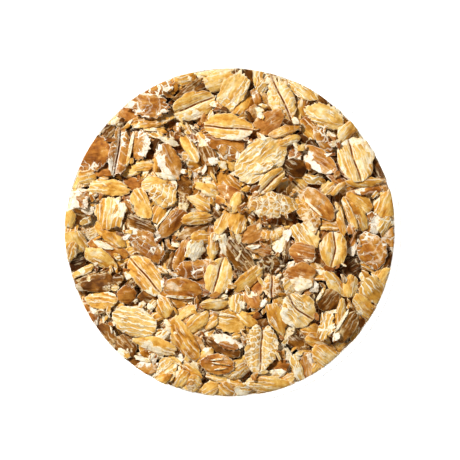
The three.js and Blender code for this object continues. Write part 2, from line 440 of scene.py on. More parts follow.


# ------------------------------------------------------------------ flakes: what lies where
# A flake that the picture shows: its grain, the pixel of its middle, real length and width in mm,
# turn in degrees from the picture's right towards its top, and what it shows the eye. Later flakes
# lie on earlier ones. crease is 1 for the creased side up, starch the share of bare white, tone -1
# dark to 1 light, its own colour and, for flakes that lie deep, painted shade too, ladder the cracks
# across, lean a tilt about its length in degrees, which it then keeps where others settle on what
# lies under them, notch the depth of a cleft in its leading end, side the direction, in degrees, in
# which it is barest, and rough how far it is from an ellipse.
Shown = namedtuple(
    "Shown",
    "grain x y length width turn crease starch tone ladder lean notch side rough",
    defaults=(0, 0.1, 0.0, 0.0, 0, 0.0, None, 0.8),
)
SHOWN = [
    # Along the wall, clockwise from the left.
    Shown("rye", 71, 268, 6.5, 4.6, 70, tone=-0.3),
    Shown("oat", 68, 246, 6.5, 4.6, 85, tone=0.1),
    Shown("oat", 67, 221, 6.5, 4.6, 85, tone=-0.1),
    Shown("barley", 71, 199, 6.0, 5.0, 75, starch=0.6),
    Shown("oat", 77, 177, 6.0, 4.6, 65, tone=0.1),
    Shown("wheat", 83, 158, 6.5, 4.6, 60),
    Shown("wheat", 93, 138, 5.5, 4.2, 55, starch=0.3),
    Shown("rye", 106, 122, 5.5, 4.0, 50, tone=-0.3),
    Shown("spelt", 124, 107, 6.0, 4.4, 40, tone=0.1),
    Shown("wheat", 141, 96, 6.5, 4.6, 30, starch=0.2, side=200),
    Shown("wheat", 159, 86, 6.5, 4.0, 22, starch=0.15, ladder=0.6),
    Shown("rye", 173, 82, 4.6, 4.0, 18),
    Shown("oat", 187, 77, 5.5, 4.2, 14, tone=-0.1),
    Shown("oat", 217, 71, 9.0, 4.2, 6, tone=0.42),
    Shown("rye", 240, 71, 5.5, 4.0, -5, tone=0.1),
    Shown("oat", 248, 77, 5.0, 4.4, -8, tone=-0.2),
    Shown("barley", 259, 76, 4.8, 4.0, 85, starch=0.4),
    Shown("barley", 272, 78, 4.6, 4.2, -15, starch=0.4, ladder=0.4),
    Shown("barley", 285, 79, 5.5, 4.2, -20, starch=0.2),
    Shown("barley", 305, 88, 8.0, 4.6, -30),
    Shown("rye", 325, 101, 6.0, 4.2, -38),
    Shown("oat", 343, 119, 6.5, 4.4, -48, tone=0.1),
    Shown("oat", 363, 147, 9.0, 4.4, -60, tone=-0.1),
    Shown("rye", 375, 168, 6.0, 4.2, -68, tone=-0.2),
    Shown("wheat", 384, 187, 6.0, 4.2, -74, starch=0.25),
    Shown("oat", 389, 205, 6.0, 4.4, -80),
    Shown("barley", 392, 224, 5.6, 4.4, -86, starch=0.2),
    Shown("wheat", 392, 243, 6.0, 4.4, 86, tone=0.1, ladder=0.5),
    Shown("rye", 389, 263, 6.0, 4.4, 78, tone=-0.3),
    Shown("oat", 386, 280, 5.6, 4.4, 72, tone=0.2),
    Shown("oat", 380, 297, 6.0, 4.4, 66, tone=0.1),
    Shown("barley", 371, 314, 6.0, 4.4, 58, starch=0.25),
    Shown("rye", 363, 328, 5.0, 4.0, 54, tone=-0.3),
    Shown("spelt", 353, 341, 5.6, 4.2, 48),
    Shown("oat", 342, 351, 5.6, 4.2, 42, tone=0.2),
    Shown("oat", 329, 361, 6.0, 4.6, 36, tone=0.2),
    Shown("oat", 315, 370, 5.6, 4.2, 32, tone=0.1),
    Shown("wheat", 302, 376, 5.6, 4.2, 26, starch=0.35),
    Shown("barley", 289, 382, 5.6, 4.2, 22, starch=0.2),
    Shown("oat", 270, 387, 8.0, 4.6, 14, tone=0.2),
    Shown("barley", 245, 391, 6.0, 4.2, 5, tone=-0.2),
    Shown("oat", 228, 392, 5.6, 4.2, 0, tone=-0.1),
    Shown("oat", 210, 390, 5.6, 4.2, -8),
    Shown("oat", 194, 388, 5.6, 4.2, -14, tone=0.1, ladder=0.6),
    Shown("oat", 178, 383, 5.6, 4.2, -18, tone=0.2),
    Shown("oat", 162, 378, 5.6, 4.2, -26),
    Shown("spelt", 146, 370, 6.0, 4.2, -30, tone=-0.1),
    Shown("rye", 131, 360, 5.6, 4.2, -38),
    Shown("rye", 117, 347, 6.0, 4.2, -46, tone=0.2),
    Shown("rye", 103, 333, 6.0, 4.2, -50, tone=0.1),
    Shown("wheat", 92, 317, 6.0, 4.2, -58, tone=-0.1),
    Shown("oat", 83, 301, 6.0, 4.2, -64, tone=0.1),
    Shown("rye", 75, 285, 6.0, 4.4, -72),
    # Deep ones, partly covered, from the upper left to the lower right; their darker tones are partly
    # painted shade.
    Shown("rye", 155, 147, 4.2, 2.8, 80, tone=-0.4),
    Shown("oat", 207, 140, 5.0, 3.0, -50, tone=-0.5),
    Shown("oat", 181, 84, 4.0, 3.4, 20, tone=-0.3),
    Shown("oat", 172, 90, 3.6, 2.6, 40, tone=-0.4),
    Shown("barley", 225, 158, 6.8, 3.2, -50, tone=-0.3, ladder=0.4),
    Shown("rye", 208, 158, 8.4, 4.2, -70, starch=0.3),
    Shown("wheat", 212, 162, 3.2, 2.0, 10, starch=0.8, rough=1),
    Shown("oat", 246, 102, 7.2, 5.4, 60, tone=-0.3),
    Shown("rye", 246, 79, 5.6, 4.0, -60, tone=-0.3),
    Shown("barley", 258, 80, 6.0, 2.4, 85, starch=0.45),
    Shown("barley", 262, 88, 4.6, 2.6, 60, starch=0.2, tone=-0.3),
    Shown("oat", 265, 103, 5.6, 3.6, -60, tone=-0.2, ladder=0.6),
    Shown("wheat", 256, 98, 4.0, 2.2, -70, tone=0.1, starch=0.3),
    Shown("oat", 303, 106, 4.6, 3.4, 80, tone=-0.3),
    Shown("oat", 309, 128, 6.0, 4.4, -50, tone=-0.35),
    Shown("oat", 335, 134, 4.2, 3.0, 50, tone=-0.3),
    Shown("rye", 321, 103, 3.4, 2.2, -40, tone=-0.2),
    Shown("rye", 311, 146, 7.0, 2.6, -45, tone=-0.2),
    Shown("wheat", 294, 155, 4.6, 3.4, -30, starch=0.35, ladder=0.8),
    Shown("rye", 295, 167, 5.4, 4.2, -30, tone=-0.5),
    Shown("rye", 376, 163, 7.4, 3.8, -65, tone=-0.3, starch=0.2),
    Shown("wheat", 226, 144, 9.6, 3.8, -15, starch=0.05),
    Shown("wheat", 228, 153, 6.8, 3.2, -32, starch=0.35, ladder=0.9),
    Shown("wheat", 180, 215, 4.6, 4.0, 20, starch=0.05),
    Shown("rye", 184, 203, 4.2, 2.4, 80, starch=0.4),
    Shown("oat", 154, 185, 6.4, 4.2, 15),
    Shown("oat", 158, 214, 4.4, 4.2, 60),
    Shown("spelt", 128, 208, 3.6, 2.6, -40, starch=0.3, side=0),
    Shown("wheat", 81, 213, 6.6, 3.2, 10, starch=0.45, side=90),
    Shown("rye", 77, 262, 5.2, 4.4, 20, tone=-0.5),
    Shown("rye", 80, 217, 4.6, 3.4, -20, tone=-0.2),
    Shown("oat", 71, 219, 4.2, 3.2, 70, tone=0.1),
    Shown("oat", 77, 240, 6.4, 5.2, -60, ladder=0.3),
    Shown("oat", 72, 252, 5.0, 4.0, 70, tone=0.1),
    Shown("barley", 88, 221, 3.2, 1.8, 25, starch=0.4),
    Shown("rye", 172, 262, 4.6, 3.2, 60, starch=0.3),
    Shown("rye", 273, 264, 6.6, 4.2, 10, starch=0.25, tone=-0.1, ladder=0.9),
    Shown("barley", 281, 244, 4.2, 3.2, 60, starch=0.9),
    Shown("rye", 287, 251, 5.6, 2.2, 85, starch=0.3),
    Shown("rye", 350, 266, 5.2, 4.6, 30, tone=-0.6),
    Shown("oat", 329, 225, 5.2, 3.8, 0, tone=-0.3),
    Shown("barley", 308, 237, 7.6, 6.0, -60, tone=0.12, ladder=0.2),
    Shown("spelt", 301, 253, 6.4, 4.6, -10, starch=0.2),
    Shown("rye", 386, 262, 5.4, 4.0, 60, tone=-0.4),
    Shown("wheat", 387, 238, 6.0, 3.6, -75, starch=0.2, ladder=0.8),
    Shown("oat", 385, 277, 4.6, 3.4, 60, tone=0.24),
    Shown("oat", 349, 306, 6.4, 3.0, -70, tone=-0.2),
    Shown("spelt", 357, 320, 5.8, 3.4, 80),
    Shown("wheat", 375, 312, 4.4, 3.6, -40, starch=0.3),
    Shown("rye", 345, 334, 4.8, 3.0, 60, tone=-0.4),
    Shown("oat", 356, 335, 3.8, 2.4, 60, starch=0.3),
    Shown("rye", 295, 337, 8.0, 5.0, -35, starch=0.25, ladder=0.4, side=150),
    Shown("oat", 309, 329, 5.2, 3.4, -20, tone=0.1),
    Shown("oat", 317, 339, 6.2, 3.8, -15),
    Shown("wheat", 306, 364, 6.2, 4.0, -80, starch=0.4, side=0),
    Shown("oat", 316, 366, 4.0, 2.8, 50),
    Shown("wheat", 284, 368, 4.2, 2.6, 80, starch=0.3),
    Shown("oat", 285, 379, 4.2, 3.2, 30, tone=-0.1),
    Shown("oat", 276, 318, 9.0, 3.8, -65, ladder=0.3, tone=0.1),
    Shown("wheat", 262, 304, 5.0, 1.5, 45, starch=0.7, rough=1.3),
    Shown("barley", 229, 321, 7.6, 5.2, -10, tone=-0.3),
    Shown("oat", 246, 318, 5.6, 2.8, -40),
    Shown("rye", 221, 347, 11.8, 3.2, -30, tone=-0.4, starch=0.2),
    Shown("spelt", 200, 344, 6.0, 2.0, -60, starch=0.2),
    Shown("oat", 190, 371, 6.2, 3.4, -30, side=180, starch=0.2),
    Shown("oat", 205, 355, 5.2, 3.0, 40, tone=0.2),
    Shown("oat", 224, 377, 8.4, 3.0, -15, starch=0.25),
    Shown("oat", 180, 377, 5.0, 4.0, 50, tone=-0.1),
    Shown("oat", 211, 387, 4.6, 3.2, 30, tone=0.1),
    Shown("oat", 228, 389, 5.0, 3.2, -40, tone=-0.1),
    Shown("barley", 242, 387, 5.2, 3.4, 5, tone=-0.2, starch=0.3),
    Shown("wheat", 277, 366, 6.2, 3.2, 18),
    Shown("barley", 272, 373, 7.4, 2.4, 12, starch=0.8),
    Shown("barley", 166, 368, 6.0, 5.6, 40, starch=0.2, ladder=0.5),
    Shown("oat", 163, 380, 4.8, 2.6, 30, tone=0.1),
    Shown("wheat", 147, 366, 6.4, 3.8, 0, starch=0.15, side=90),
    Shown("rye", 127, 345, 6.4, 4.6, -50),
    Shown("barley", 124, 354, 3.6, 1.8, -35, starch=0.5),
    Shown("rye", 105, 334, 6.0, 3.8, -48, tone=0.1),
    Shown("wheat", 91, 311, 7.4, 3.4, -62, starch=0.25, ladder=0.7),
    Shown("barley", 118, 306, 4.2, 2.4, -10, starch=0.4, tone=-0.3),
    Shown("rye", 148, 298, 5.8, 3.8, -20),
    Shown("oat", 171, 299, 7.4, 4.0, -25, tone=-0.3),
    Shown("oat", 160, 316, 5.4, 2.6, 25),
    Shown("oat", 164, 307, 5.0, 4.2, -60, starch=0.3, side=150),
    Shown("barley", 152, 305, 3.0, 2.0, 50, starch=0.6),
    Shown("oat", 163, 336, 4.4, 3.2, 40, starch=0.5),
    Shown("oat", 186, 312, 6.9, 3.0, 35, tone=0.1),
    Shown("oat", 121, 276, 4.8, 3.2, 10, tone=-0.5),
    Shown("barley", 165, 274, 3.4, 2.6, 10, starch=0.8),
    Shown("rye", 107, 133, 4.6, 3.4, 40, starch=0.3),
    Shown("wheat", 98, 140, 4.0, 3.0, -30, starch=0.3),
    # The middle ones, from the upper left round to the lower left.
    Shown("oat", 187, 80, 5.6, 3.2, 12, tone=-0.2),
    Shown("rye", 190, 89, 9.6, 1.8, 38, starch=0.3, tone=0.2),
    Shown("rye", 196, 92, 6.6, 1.6, 38, starch=0.2),
    Shown("wheat", 159, 90, 7.2, 4.2, 10, starch=0.2, ladder=1.0),
    Shown("barley", 155, 98, 4.8, 0.9, -14, starch=0.8),
    Shown("oat", 117, 121, 3.8, 3.0, 40, starch=0.35),
    Shown("spelt", 129, 115, 5.2, 4.6, -50, tone=0.1),
    Shown("oat", 154, 128, 5.2, 1.8, 0, starch=0.35),
    Shown("oat", 153, 121, 10.8, 3.2, 9, ladder=0.5),
    Shown("barley", 156, 136, 3.8, 1.7, -15, starch=0.5),
    Shown("barley", 170, 142, 5.4, 1.8, -24, starch=0.7),
    Shown("oat", 130, 172, 5.2, 2.8, 15),
    Shown("wheat", 108, 171, 9.6, 3.0, 0, starch=0.05, tone=0.1, side=90),
    Shown("wheat", 88, 154, 11.8, 9.4, 5, starch=0.05, ladder=0.4, rough=0.7, tone=-0.2),
    Shown("oat", 143, 165, 5.4, 3.2, 8, tone=0.2),
    Shown("wheat", 141, 145, 8.0, 5.6, 80, starch=0.34, side=20, ladder=0.5, rough=1),
    Shown("wheat", 120, 152, 12.0, 4.6, 82, crease=1, starch=0.2, side=180, ladder=0.6, rough=0.5),
    Shown("barley", 131, 150, 9.0, 0.9, 80, starch=0.8),
    Shown("oat", 157, 164, 5.6, 2.2, 85, starch=0.2),
    Shown("wheat", 169, 162, 9.4, 5.4, -65, starch=0.42, side=200, tone=0.3),
    Shown("barley", 167, 177, 5.6, 1.6, -12, starch=0.9),
    Shown("wheat", 151, 108, 10.6, 5.8, -5, starch=0.26, side=190, ladder=0.6, rough=1, lean=1),
    Shown("oat", 189, 146, 8.8, 2.8, -58, starch=0.15, side=0),
    Shown("oat", 87, 178, 5.2, 4.2, 5, tone=0.1),
    Shown("wheat", 82, 198, 6.0, 5.4, -50, starch=0.6, rough=1, ladder=0.6),
    Shown("oat", 104, 181, 3.6, 2.2, -15, starch=0.3),
    Shown("oat", 108, 188, 10.8, 4.2, -5, starch=0.15, ladder=0.2, tone=0.18),
    Shown("barley", 163, 196, 6.8, 6.0, -30, ladder=0.9, rough=1),
    Shown("rye", 137, 225, 10.3, 5.2, -22, starch=0.25, tone=0.3),
    Shown("barley", 135, 202, 2.6, 1.8, -40, starch=0.8),
    Shown("oat", 143, 205, 8.4, 4.6, -65, tone=0.25, starch=0.05),
    Shown("wheat", 172, 224, 8.9, 4.6, 42, starch=0.12, side=150),
    Shown("barley", 163, 219, 7.0, 0.6, 52, starch=0.9),
    Shown("rye", 192, 231, 9.0, 3.4, 24, starch=0.25, tone=0.3),
    Shown("oat", 201, 238, 5.3, 3.8, 10, tone=-0.1),
    Shown("wheat", 180, 255, 9.0, 2.8, 68, starch=0.15),
    Shown("wheat", 147, 246, 11.8, 6.3, -38, starch=0.3, ladder=0.5, rough=1),
    Shown("wheat", 196, 269, 10.2, 5.4, 12, starch=0.2, ladder=0.6, rough=0.9),
    Shown("barley", 194, 251, 6.3, 5.0, 70, starch=0.75, rough=1),
    Shown("oat", 213, 246, 7.2, 3.0, 85, starch=0.15),
    Shown("barley", 216, 237, 2.4, 1.8, 60, starch=0.6),
    Shown("barley", 224, 244, 5.6, 2.6, -72, starch=0.7),
    Shown("oat", 223, 221, 7.0, 3.6, 62, tone=0.1),
    Shown("rye", 213, 212, 3.8, 3.0, -50, tone=-0.1),
    Shown("oat", 199, 218, 8.6, 3.4, 8, rough=1),
    Shown("oat", 201, 203, 7.6, 3.8, -25, tone=0.2, rough=1),
    Shown("wheat", 218, 206, 2.6, 1.6, 70, starch=0.7, rough=1),
    Shown("spelt", 230, 194, 6.9, 4.8, -30, rough=1),
    Shown("rye", 240, 256, 10.2, 5.4, -52, starch=0.35, ladder=0.2, rough=1),
    Shown("spelt", 252, 234, 6.2, 4.4, 35, tone=0.1),
    Shown("spelt", 261, 250, 7.2, 3.4, -15, starch=0.3, rough=1),
    Shown("barley", 254, 247, 3.4, 1.4, 5, starch=0.9, rough=1.2),
    Shown("oat", 273, 232, 6.9, 4.4, 15, starch=0.3, ladder=0.9),
    Shown("oat", 249, 187, 4.1, 1.8, 25, tone=0.1),
    Shown("oat", 252, 201, 3.6, 2.8, 70, starch=0.2),
    Shown("oat", 263, 198, 4.2, 2.6, 50, ladder=0.8),
    Shown("barley", 316, 180, 6.6, 2.6, -10, starch=0.45, rough=1),
    Shown("oat", 328, 188, 4.2, 3.4, 40),
    Shown("oat", 337, 189, 4.8, 1.9, 45, starch=0.2),
    Shown("oat", 382, 207, 7.4, 5.6, 70),
    Shown("oat", 356, 202, 7.6, 5.4, -38, tone=-0.1, rough=0.5),
    Shown("wheat", 366, 191, 8.0, 2.4, 8, starch=0.25),
    Shown("oat", 362, 183, 9.0, 2.6, 2, tone=-0.1, rough=0.4),
    Shown("wheat", 369, 224, 6.2, 5.2, 80, starch=0.45, ladder=1.0, rough=1),
    Shown("barley", 382, 224, 5.4, 3.6, 60, starch=0.2),
    Shown("oat", 357, 219, 8.4, 4.2, -65, ladder=0.4),
    Shown("oat", 340, 220, 9.0, 2.2, -78),
    Shown("oat", 348, 214, 8.6, 2.0, -68, starch=0.2),
    Shown("wheat", 352, 245, 6.8, 2.9, 65, starch=0.5, rough=1),
    Shown("oat", 306, 210, 12.4, 4.6, -55, ladder=0.8, tone=-0.2, starch=0.05),
    Shown("oat", 334, 284, 8.4, 3.6, -52, tone=0.1),
    Shown("oat", 349, 285, 6.0, 4.2, 75, tone=0.2, ladder=0.2),
    Shown("barley", 371, 289, 7.6, 6.6, -50),
    Shown("oat", 362, 306, 7.4, 4.4, -42, ladder=0.4),
    Shown("rye", 327, 300, 6.2, 5.2, 50, tone=0.1, rough=0.3),
    Shown("barley", 320, 293, 4.4, 0.9, 60, starch=0.8),
    Shown("oat", 338, 315, 9.0, 2.6, 82),
    Shown("rye", 347, 324, 9.6, 4.0, 56, tone=0.2, rough=0.4),
    Shown("barley", 340, 319, 7.6, 0.9, 58, starch=0.9),
    Shown("barley", 325, 324, 8.0, 4.3, 72, starch=0.25, rough=1),
    Shown("barley", 296, 367, 7.3, 2.8, -68, starch=0.35),
    Shown("oat", 325, 354, 7.6, 6.2, -38, tone=0.2),
    Shown("oat", 268, 383, 11.4, 4.6, -5, tone=0.1, rough=0.4, starch=0.2),
    Shown("oat", 240, 367, 8.4, 5.4, 35, tone=0.1, ladder=0.4),
    Shown("wheat", 217, 363, 8.6, 5.6, -3, starch=0.0, rough=0.4),
    Shown("barley", 216, 358, 4.0, 0.55, 7, starch=0.7, rough=1.3),
    Shown("barley", 220, 362, 5.2, 0.5, -8, starch=0.7, rough=1.3),
    Shown("barley", 221, 367, 3.6, 0.5, 10, starch=0.7, rough=1.3),
    Shown("oat", 194, 382, 4.8, 3.8, 70, ladder=0.9, starch=0.2),
    Shown("rye", 225, 346, 9.6, 3.4, -28),
    Shown("wheat", 226, 341, 8.6, 3.4, -20, starch=0.6, side=80, rough=1),
    Shown("oat", 211, 321, 4.8, 3.4, 50),
    Shown("barley", 143, 357, 5.0, 1.3, -15, starch=0.9),
    Shown("oat", 155, 344, 11.4, 4.2, -18, starch=0.15, side=270, tone=0.36, rough=0.5),
    Shown("barley", 135, 320, 11.4, 7.6, -14, tone=0.2, rough=0.6, starch=0.3),
    Shown("barley", 104, 317, 3.8, 0.9, -85, starch=0.5),
    Shown("barley", 111, 322, 6.4, 0.8, -80, starch=0.8),
    Shown("wheat", 128, 294, 5.6, 5.2, 0, starch=0.0, rough=0.5),
    Shown("oat", 101, 299, 9.0, 4.8, -2, rough=0.6),
    Shown("rye", 103, 281, 11.3, 5.4, 8, starch=0.12, ladder=0.4, rough=0.6),
    Shown("oat", 84, 271, 7.0, 2.2, 25, starch=0.3),
    Shown("oat", 120, 263, 5.4, 3.2, 25, tone=0.1),
    Shown("wheat", 109, 249, 11.0, 3.8, -18, starch=0.0, rough=0.4),
    Shown("barley", 104, 245, 6.0, 1.9, -24, starch=0.95, rough=1),
    Shown("oat", 99, 257, 10.4, 4.8, -30, tone=0.3, rough=0.6),
    Shown("oat", 110, 235, 9.9, 3.6, -38, tone=0.1, rough=0.2, starch=0.0),
    Shown("oat", 112, 212, 9.4, 8.6, 80, starch=0.4, tone=0.2, rough=1),
    # The ones that lie on top.
    Shown("oat", 217, 74, 8.6, 3.0, 6, tone=0.42),
    Shown("oat", 221, 82, 8.4, 5.0, 15, tone=0.3, rough=0.5),
    Shown("barley", 233, 93, 10.6, 7.0, 58, tone=0.3, ladder=0.5),
    Shown("barley", 272, 81, 3.8, 3.2, 0, starch=0.5),
    Shown("oat", 196, 105, 11.8, 6.9, 22, crease=1, tone=0.3, rough=0.5),
    Shown("oat", 282, 103, 12.4, 6.7, -65, crease=1, ladder=0.9, tone=0.24, rough=0.5, lean=1),
    Shown("spelt", 252, 114, 5.0, 3.8, 50, tone=0.1),
    Shown("spelt", 268, 123, 11.0, 5.6, 30, tone=0.3, rough=1),
    Shown("barley", 260, 116, 2.8, 1.9, -60, starch=0.6),
    Shown("oat", 230, 128, 12.9, 7.3, -5, crease=1, side=290, rough=0.6, tone=0.24),
    Shown("barley", 304, 91, 8.6, 4.6, -38, rough=0.9, tone=0.24),
    Shown("wheat", 323, 140, 8.2, 3.6, -55, starch=0.0, ladder=0.7, rough=0.6),
    Shown("barley", 324, 117, 11.8, 6.4, -22, starch=0.05, rough=0.7, tone=0.3, lean=1),
    Shown("oat", 346, 133, 6.6, 4.6, 50, tone=0.2),
    Shown("wheat", 316, 159, 11.6, 5.6, -36, starch=0.4, side=210, tone=0.2, rough=0.7),
    Shown("oat", 352, 160, 11.8, 9.0, -74, crease=1, starch=0.35, tone=0.3, rough=0.4),
    Shown("barley", 262, 159, 15.6, 9.6, 38, starch=0.15, tone=0.36, rough=0.25, lean=1, ladder=0.35),
    Shown("barley", 264, 168, 6.2, 2.4, 25, starch=0.5),
    Shown("oat", 284, 132, 9.0, 2.8, 18, ladder=0.6, rough=0.3),
    Shown("oat", 290, 141, 6.4, 2.6, 20, rough=0.3),
    Shown("oat", 272, 180, 9.2, 4.4, 42, crease=1, tone=0.2, rough=0.3),
    Shown("barley", 271, 206, 13.6, 7.4, -5, ladder=0.8, rough=0.9, tone=-0.3, lean=1),
    Shown("oat", 206, 189, 6.9, 3.8, -28, tone=0.34, rough=1.0, starch=0.0),
    Shown("oat", 237, 223, 6.0, 5.4, 75, tone=0.1, ladder=0.2),
    Shown("oat", 235, 204, 6.4, 2.9, 72, tone=0.3, rough=0.2, starch=0.0),
    Shown("wheat", 318, 203, 11.4, 5.2, -48, starch=0.0, tone=0.15, rough=0.2),
    Shown("barley", 313, 208, 6.4, 0.8, -44, starch=0.9),
    Shown("oat", 333, 250, 9.2, 7.6, 86, crease=1, tone=0.2, ladder=0.3, rough=0.3),
    Shown("wheat", 371, 251, 10.8, 8.0, -55, starch=0.0, tone=0.2, rough=0.7, ladder=0.6),
    Shown("spelt", 304, 277, 10.4, 7.8, -15, starch=0.12, side=240, rough=1, tone=0.2, lean=1),
    Shown("oat", 249, 279, 10.0, 4.0, 38, side=20, rough=0.7),
    Shown("oat", 218, 278, 11.2, 7.3, 74, crease=1, tone=0.3, rough=0.2, starch=0.05),
    Shown("oat", 145, 274, 12.4, 7.0, -48, crease=1, tone=0.24, rough=0.3, starch=0.05),
    Shown("wheat", 182, 289, 10.8, 6.0, -8, starch=0.0, tone=0.2, rough=0.3),
    Shown("barley", 182, 297, 8.4, 0.9, -3, starch=0.6),
    Shown("oat", 214, 304, 8.2, 3.4, 6, ladder=0.2, rough=0.3, tone=0.3),
    Shown("oat", 196, 323, 8.6, 4.4, 38, ladder=0.3),
    Shown("oat", 186, 340, 13.4, 5.0, -58, tone=-0.3, rough=0.2, starch=0.0),
    Shown("barley", 237, 303, 5.3, 5.0, 80, starch=0.35, ladder=0.3, rough=1, side=20, tone=0.3),
    Shown("spelt", 253, 301, 5.6, 4.2, -50),
    Shown("oat", 272, 287, 6.8, 5.6, 88, crease=1, ladder=0.9, tone=-0.35, rough=0.6),
    Shown("barley", 261, 344, 15.2, 9.2, 86, crease=1, ladder=0.85, tone=-0.1, notch=0.3, rough=0.7, lean=1),
    Shown("barley", 299, 311, 10.2, 9.4, -42, crease=1, tone=0.2, rough=0.3, starch=0.25, side=200),
]

HIDDEN_MORE = 0.3  # how much more of the deepest of these lies under the others
MIDDLE_ROOM = 1.0  # mm from the middle of one of these to the wall, at least
SHOWN_SINK = 0.15  # mm that one of these sinks into what it rests on
MIXED_SINK = 0.3  # and any other

HEAP_SEED = 11
MIXED_FLAKES = 250  # flakes under the ones that the picture shows
MIXED_BITS = 260  # broken pieces on these
GAP_BITS = 190  # and in the gaps between the flakes that show
MIXED_TRIES = 5  # places from which the lowest is taken for the mixed ones
GAP_TRIES = 60  # and for the ones in gaps
SHAKE = 5.0  # how far such places are from the first one
MIXED_RADIUS = MOUTH_RADIUS - 2  # the mixed ones' first places lie within this
GRAIN_SHARES = {"oat": 0.36, "barley": 0.14, "wheat": 0.24, "rye": 0.14, "spelt": 0.12}
FLAKE_LENGTH = (7.5, 12.0)
FLAKE_SLIMNESS = (0.5, 0.75)  # width as a share of length
BIT_LENGTH = (2.0, 6.0)
GAP_LENGTH = (1.6, 3.6)
BIT_SLIMNESS = (0.3, 0.75)
SMALL_FLAKE = 5.0  # length up to which a flake that shows is a small one
FINE_CELL = 0.45  # mm between mesh points of a flake that shows
FINEST_CELL = 0.28  # and of a small one
PLAIN_CELL = 1.1  # and of one that is mostly covered
SHARD_CELL = 0.5  # and of a broken piece
EDGE_CELL = 0.13  # between the outermost ones, where the edge is rounded
CREASE_CELLS = (0.0, 0.13, 0.3, 0.6)  # from a crease to the mesh points beside it
CREASE_ROOM = 1.6  # half width from which a flake has room for these
WALL_GAP = 0.15  # between flakes and the wall
WALL_SPREAD = 0.22  # a flake that nearly meets the wall is spread to it by up to this share

ANY_PHASE = (0, 6.3)  # range of a random phase
EDGE_WAVES = (5, 7, 10, 14, 19, 27)  # waves round a flake's edge
CORNER_JITTER = (-0.3, 0.3)  # of a corner's place, as a share of the way to the next one
SIDE_REACH = (0.76, 1.06)  # from the middle to each side of the polygon, as a share of an ellipse's
SHARPNESS = (9, 28)  # of a whole flake's corners
SHARD_SHARPNESS = 24
NICK_DEPTH = (0.04, 0.16)
NICK_WIDTH = (0.003, 0.02)
NOTCH_WIDTH = 0.03

# What sets the form of each grain's flakes, in mm, and last how ragged their edge is.
Form = namedtuple(
    "Form", "thickness crown crease_depth crease_width valley_depth valley_width ripple ragged"
)
FORMS = {
    "oat": Form(0.40, 0.40, 0.30, 0.24, 0.45, 1.1, 0.18, 0.018),
    "barley": Form(0.42, 0.12, 0.26, 0.24, 0.36, 1.0, 0.28, 0.024),
    "wheat": Form(0.44, 0.25, 0.40, 0.28, 0.60, 1.0, 0.28, 0.026),
    "rye": Form(0.38, 0.30, 0.34, 0.26, 0.55, 1.0, 0.26, 0.022),
    "spelt": Form(0.42, 0.22, 0.34, 0.26, 0.55, 1.1, 0.24, 0.020),
}
RIPPLE_LENGTH = 2.0  # mm from one rise of the pressed bran to the next
PRESSING_SIZES = [field.replace("_", " ").title() for field in Form._fields[:-1]]
PRESSING_SIZES += ["Ripple Length"]


def outline(angle, flake, shard, chance):
    """Distance from the flake's middle to its edge: the rounded, uneven polygon that a pressed
    grain spreads into, or the sharp one of a broken piece, with ragged edges and a few nicks."""
    count = chance.integers(4, 6) if shard else chance.integers(5, 9)
    jitter = chance.uniform(*CORNER_JITTER, count)
    facing = (np.arange(count) + jitter) * 2 * math.pi / count + chance.uniform(*ANY_PHASE)
    reach = chance.uniform(*SIDE_REACH, count)
    sharpness = SHARD_SHARPNESS if shard else chance.uniform(*SHARPNESS)
    toward = np.maximum(np.cos(angle[..., None] - facing), 0) / reach
    broken = (toward**sharpness).sum(-1) ** (-1 / sharpness)
    edge = 1 + flake.rough * (broken - 1)
    for waves in EDGE_WAVES:
        height = chance.normal(0, FORMS[flake.grain].ragged) * (0.4 + 0.6 * flake.rough)
        height *= math.sqrt(9 / max(flake.length, 2))
        edge += height * np.cos(waves * angle + chance.uniform(*ANY_PHASE))
    for _ in range(chance.poisson(0.2 if shard else 1.5 * flake.rough)):
        away = 1 - np.cos(angle - chance.uniform(*ANY_PHASE))
        edge -= chance.uniform(*NICK_DEPTH) * np.exp(-away / chance.uniform(*NICK_WIDTH))
    edge *= 1 + chance.uniform(-0.1, 0.1) * np.cos(angle)
    edge -= flake.notch * np.exp(-(1 - np.cos(angle)) / NOTCH_WIDTH)
    return edge


def inside_bowl(x, y, dx, dy):
    """The most by which (dx, dy) may be stretched from (x, y) before it meets the wall."""
    reach = MOUTH_RADIUS - WALL_GAP
    a = dx * dx + dy * dy
    b = x * dx + y * dy
    c = x * x + y * y - reach * reach
    return (-b + np.sqrt(np.maximum(b * b - a * c, 0))) / a


def grid_places(half, cell, near=(0.0,)):
    """Places from -1 to 1 along one side of a flake's grid: even ones, some close to the middle
    where a crease needs them, and one close to each end for the edge."""
    edge = 1 - min(EDGE_CELL / half, 0.15)
    near = np.array(near) / half
    even = np.linspace(near[-1], edge, max(2, round((edge - near[-1]) * half / cell) + 1))[1:]
    up = np.concatenate([near, even, [1.0]])
    return np.concatenate([-up[:0:-1], up])


